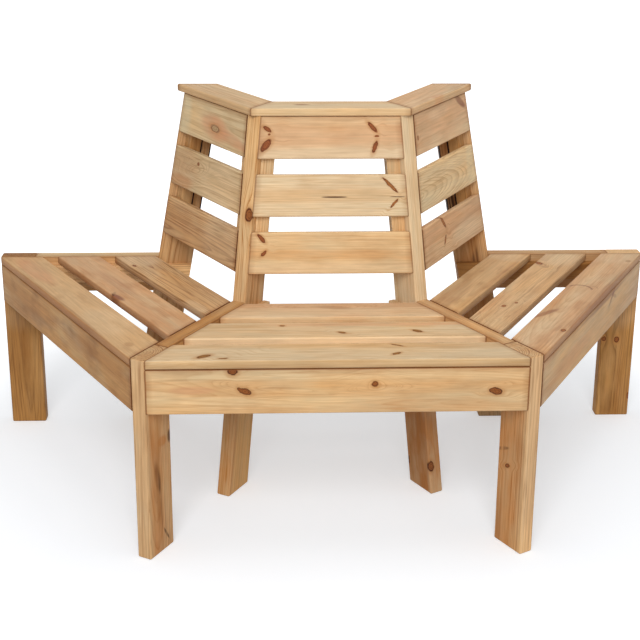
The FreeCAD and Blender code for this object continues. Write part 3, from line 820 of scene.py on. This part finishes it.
screw = {
    "head": 3.98,  # mm, radii
    "shank": 1.98,
    "tip": 0.05,
    "headHeight": 2.8,
    "point": 5.0,
    "lobe": 1.9,  # the six-lobed drive recess
    "hollow": 1.35,
    "recessDepth": 1.5,
    "segments": 24,  # four to a lobe
    "turned": 0.7,  # radians that each screw is turned on from the one before it
}


def beechMaterial():
    material, add = newMaterial("turnedBeech")
    across, along = (1 / (v * mm) for v in beech["fleckSize"])
    drawn = add("Mapping", {"Vector": add("TexCoord").outputs["Object"],
                            "Scale": (across, across, along)})
    flecks = add("TexNoise", {"Vector": drawn, "Scale": 1, "Detail": 2})
    amount = add("MapRange", (flecks, *beech["flecked"], 0, 1))
    colour = add("Mix", (amount, toLinear(beech["wood"]), toLinear(beech["fleck"])), **rgba)
    bump = add("Bump", {"Height": flecks, "Distance": beech["relief"] * mm,
                        "Strength": beech["bump"]})
    roughness = add("MapRange", (flecks, 0, 1, *beech["roughness"]))
    surface = add("BsdfPrincipled", {"Base Color": colour, "Roughness": roughness, "Normal": bump})
    add("OutputMaterial", (surface,))
    return material


def zincMaterial():
    material, add = newMaterial("zincPlatedSteel")
    mottle = add("TexNoise", {"Vector": add("TexCoord").outputs["Object"],
                              "Scale": 1 / (zinc["crystal"] * mm), "Detail": 2})
    colour = add("Mix", (mottle, toLinear(zinc["silver"]), toLinear(zinc["yellow"])), **rgba)
    roughness = add("MapRange", (mottle, 0, 1, *zinc["roughness"]))
    surface = add("BsdfPrincipled", {"Base Color": colour, "Roughness": roughness, "Metallic": 1})
    add("OutputMaterial", (surface,))
    return material


def verticesOf(geometry):
    return [part for part in geometry if isinstance(part, bmesh.types.BMVert)]


def edgesOf(geometry):
    return [part for part in geometry if isinstance(part, bmesh.types.BMEdge)]


def circleEdges(vertices):
    return list(dict.fromkeys(edge for vertex in vertices for edge in vertex.link_edges))


def oneScrew(length):
    # a countersunk screw along Z, its head's face at the origin: rings drawn out, the recess sunk last
    shape = bmesh.new()
    face = bmesh.ops.create_circle(shape, cap_ends=False, segments=screw["segments"],
                                   radius=screw["head"])
    rim = circleEdges(face["verts"])
    edges, radius, height = rim, screw["head"], 0
    for nextRadius, nextHeight in (
            (screw["shank"], screw["headHeight"]), (screw["shank"], length - screw["point"]),
            (screw["tip"], length - screw["tip"])):
        drawn = bmesh.ops.extrude_edge_only(shape, edges=edges)["geom"]
        narrowed = nextRadius / radius
        bmesh.ops.scale(shape, vec=(narrowed, narrowed, 1), verts=verticesOf(drawn))
        bmesh.ops.translate(shape, vec=(0, 0, nextHeight - height), verts=verticesOf(drawn))
        edges, radius, height = edgesOf(drawn), nextRadius, nextHeight
    bmesh.ops.contextual_create(shape, geom=edges)
    lobes = bmesh.ops.create_circle(shape, cap_ends=False, segments=screw["segments"],
                                    radius=screw["lobe"])["verts"]
    hollows = [vertex for number, vertex in enumerate(lobes) if number % 4 >= 2]
    narrowed = screw["hollow"] / screw["lobe"]
    bmesh.ops.scale(shape, vec=(narrowed, narrowed, 1), verts=hollows)
    star = circleEdges(lobes)
    bmesh.ops.bridge_loops(shape, edges=rim + star)
    sunk = bmesh.ops.extrude_edge_only(shape, edges=star)["geom"]
    bmesh.ops.translate(shape, vec=(0, 0, screw["recessDepth"]), verts=verticesOf(sunk))
    bmesh.ops.contextual_create(shape, geom=edgesOf(sunk))
    bmesh.ops.scale(shape, vec=[mm] * 3, verts=shape.verts)
    bmesh.ops.recalc_face_normals(shape, faces=shape.faces)
    return addMesh("oneScrew", shape)


def screwPlaces(node):
    # each screw of a CAD node: where the middle of its head is, where it points, and its length
    shape = bmesh.new()
    shape.from_mesh(node.data)
    bmesh.ops.remove_doubles(shape, verts=shape.verts, dist=1e-6)
    places = []
    found = set()
    for start in shape.verts:
        if start in found:
            continue
        found.add(start)
        island = [start]
        for vertex in island:  # the list grows while it is walked
            near = [link.other_vert(vertex) for link in vertex.link_edges]
            near = [other for other in near if other not in found]
            found.update(near)
            island += near
        # the tip is a single point, and the head's rim is the ring of points farthest from it
        points = [vertex.co.copy() for vertex in island]
        oneEnd = max(points, key=lambda point: (point - points[0]).length)
        otherEnd = max(points, key=lambda point: (point - oneEnd).length)
        rims = []
        for end in (oneEnd, otherEnd):
            far = max((point - end).length for point in points)
            rims.append(([point for point in points if (point - end).length > far - 1e-5], end))
        rim, tip = max(rims, key=lambda pair: len(pair[0]))
        head = sum(rim, Vector()) / len(rim)
        places.append((head, (tip - head).normalized(), (tip - head).length))
    shape.free()
    places.sort(key=lambda place: tuple(round(v, 4) for v in place[0]))
    return places


def makeScrews(nodeName, pieceName, steel):
    places = screwPlaces(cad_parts[nodeName])
    pattern = oneScrew(places[0][2] / mm)
    shape = bmesh.new()
    for number, (head, direction, length) in enumerate(places):
        before = len(shape.verts)
        shape.from_mesh(pattern)
        shape.verts.ensure_lookup_table()
        aim = direction.to_track_quat("Z", "Y").to_matrix().to_4x4()
        place = Matrix.Translation(head) @ aim @ Matrix.Rotation(number * screw["turned"], 4, "Z")
        bmesh.ops.transform(shape, matrix=place, verts=shape.verts[before:])
    piece = addObject(pieceName, addMesh(pieceName, shape))
    piece.data.materials.append(steel)
    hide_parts(nodeName)
    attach(piece, "root")
    print(pieceName, len(places), "screws", len(piece.data.polygons), "faces")


def dressBench():
    steel = zincMaterial()
    for number, name in enumerate(sorted(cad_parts)):
        if name.endswith("screws"):
            makeScrews(name, name.split("_")[0] + "ScrewsDriven", steel)
        else:
            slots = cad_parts[name].data.materials
            slots.clear()
            slots.append(beechMaterial() if name == "dowels" else plankMaterial(name, number))
    print("boards dressed")


light = {
    "sky": 0.38,
    "aim": (0, 0, 0.4),
    "lamps": {  # place, size in metres and power in watts
        "keyLight": ((-0.5, -4.4, 3.5), 2.6, 170),
        "topLight": ((0.1, -0.2, 4.5), 2.6, 39),
    },
}

# matt studio paper, which fades to plain white away from the bench
paper = {
    "colour": "#d8dce1",
    "halfSide": 40,  # metres
    "glow": 0.40,  # plain white added where the camera sees it near the bench
    "fadeFrom": 0.9,  # metres from the bench's middle
    "fadeTo": 1.7,
}

camera = {
    "place": (-0.1383, -2.7735, 1.4521),
    "turn": -2.35,
    "dip": 17.69,
    "roll": 0.37,
    "focalPixels": 1268.8,
    "axisAboveMiddle": 65,  # how far above the picture's middle the lens axis meets it, in pixels
    "pictureWidth": 640,
    "sensor": 36,
}


def seenDirectly(tree):
    # 1 for rays from the camera and for those mirrored or refracted, so metal shows the same white
    rays = addNode(tree, "LightPath").outputs
    straight = addNode(tree, "Math", (rays["Is Camera Ray"], rays["Is Glossy Ray"]), "MAXIMUM")
    return addNode(tree, "Math", (straight, rays["Is Transmission Ray"]), "MAXIMUM")


def makeFloor():
    shape = bmesh.new()
    bmesh.ops.create_grid(shape, x_segments=1, y_segments=1, size=paper["halfSide"])
    floor = addObject("floor", addMesh("floor", shape))
    material, add = newMaterial("studioPaper")
    matt = add("BsdfDiffuse", {"Color": toLinear(paper["colour"])})
    away = add("VectorMath", (add("TexCoord").outputs["Object"],), "LENGTH")
    fade = add("MapRange", (away, paper["fadeFrom"], paper["fadeTo"], paper["glow"], 1),
               **smooth)
    seen = add("Math", (seenDirectly(material.node_tree), fade), "MULTIPLY")
    white = add("Emission", {"Strength": seen})
    add("OutputMaterial", (add("AddShader", (matt, white)),))
    floor.data.materials.append(material)
    print("floor laid")


def makeLight():
    world = bpy.data.worlds.new("studio")
    bpy.context.scene.world = world
    world.use_nodes = True
    world.node_tree.nodes.clear()
    add = functools.partial(addNode, world.node_tree)
    strength = add("MapRange", (seenDirectly(world.node_tree), 0, 1, light["sky"], 1))
    sky = add("Background", {"Color": (1, 1, 1, 1), "Strength": strength})
    add("OutputWorld", (sky,))
    for name, (place, size, power) in light["lamps"].items():
        lamp = bpy.data.lights.new(name, "AREA")
        lamp.size = size
        lamp.energy = power
        holder = addObject(name, lamp)
        holder.location = place
        aim = Vector(light["aim"]) - Vector(place)
        holder.rotation_euler = aim.to_track_quat("-Z", "Y").to_euler()
    print("lamps lit")


def makeCamera():
    lens = bpy.data.cameras.new("camera")
    lens.sensor_width = camera["sensor"]
    lens.lens = camera["focalPixels"] / camera["pictureWidth"] * camera["sensor"]
    lens.shift_y = -camera["axisAboveMiddle"] / camera["pictureWidth"]
    view = addObject("camera", lens)
    turn = Matrix.Rotation(math.radians(camera["turn"]), 4, "Z")
    dip = Matrix.Rotation(math.radians(90 - camera["dip"]), 4, "X")
    roll = Matrix.Rotation(math.radians(camera["roll"]), 4, "Z")
    view.matrix_world = Matrix.Translation(camera["place"]) @ turn @ dip @ roll
    bpy.context.scene.camera = view
    print("camera set")


knotGroup = makeKnotGroup()
dressBench()
makeFloor()
makeLight()
makeCamera()
bpy.context.scene.view_settings.view_transform = "Standard"
print("scene ready")
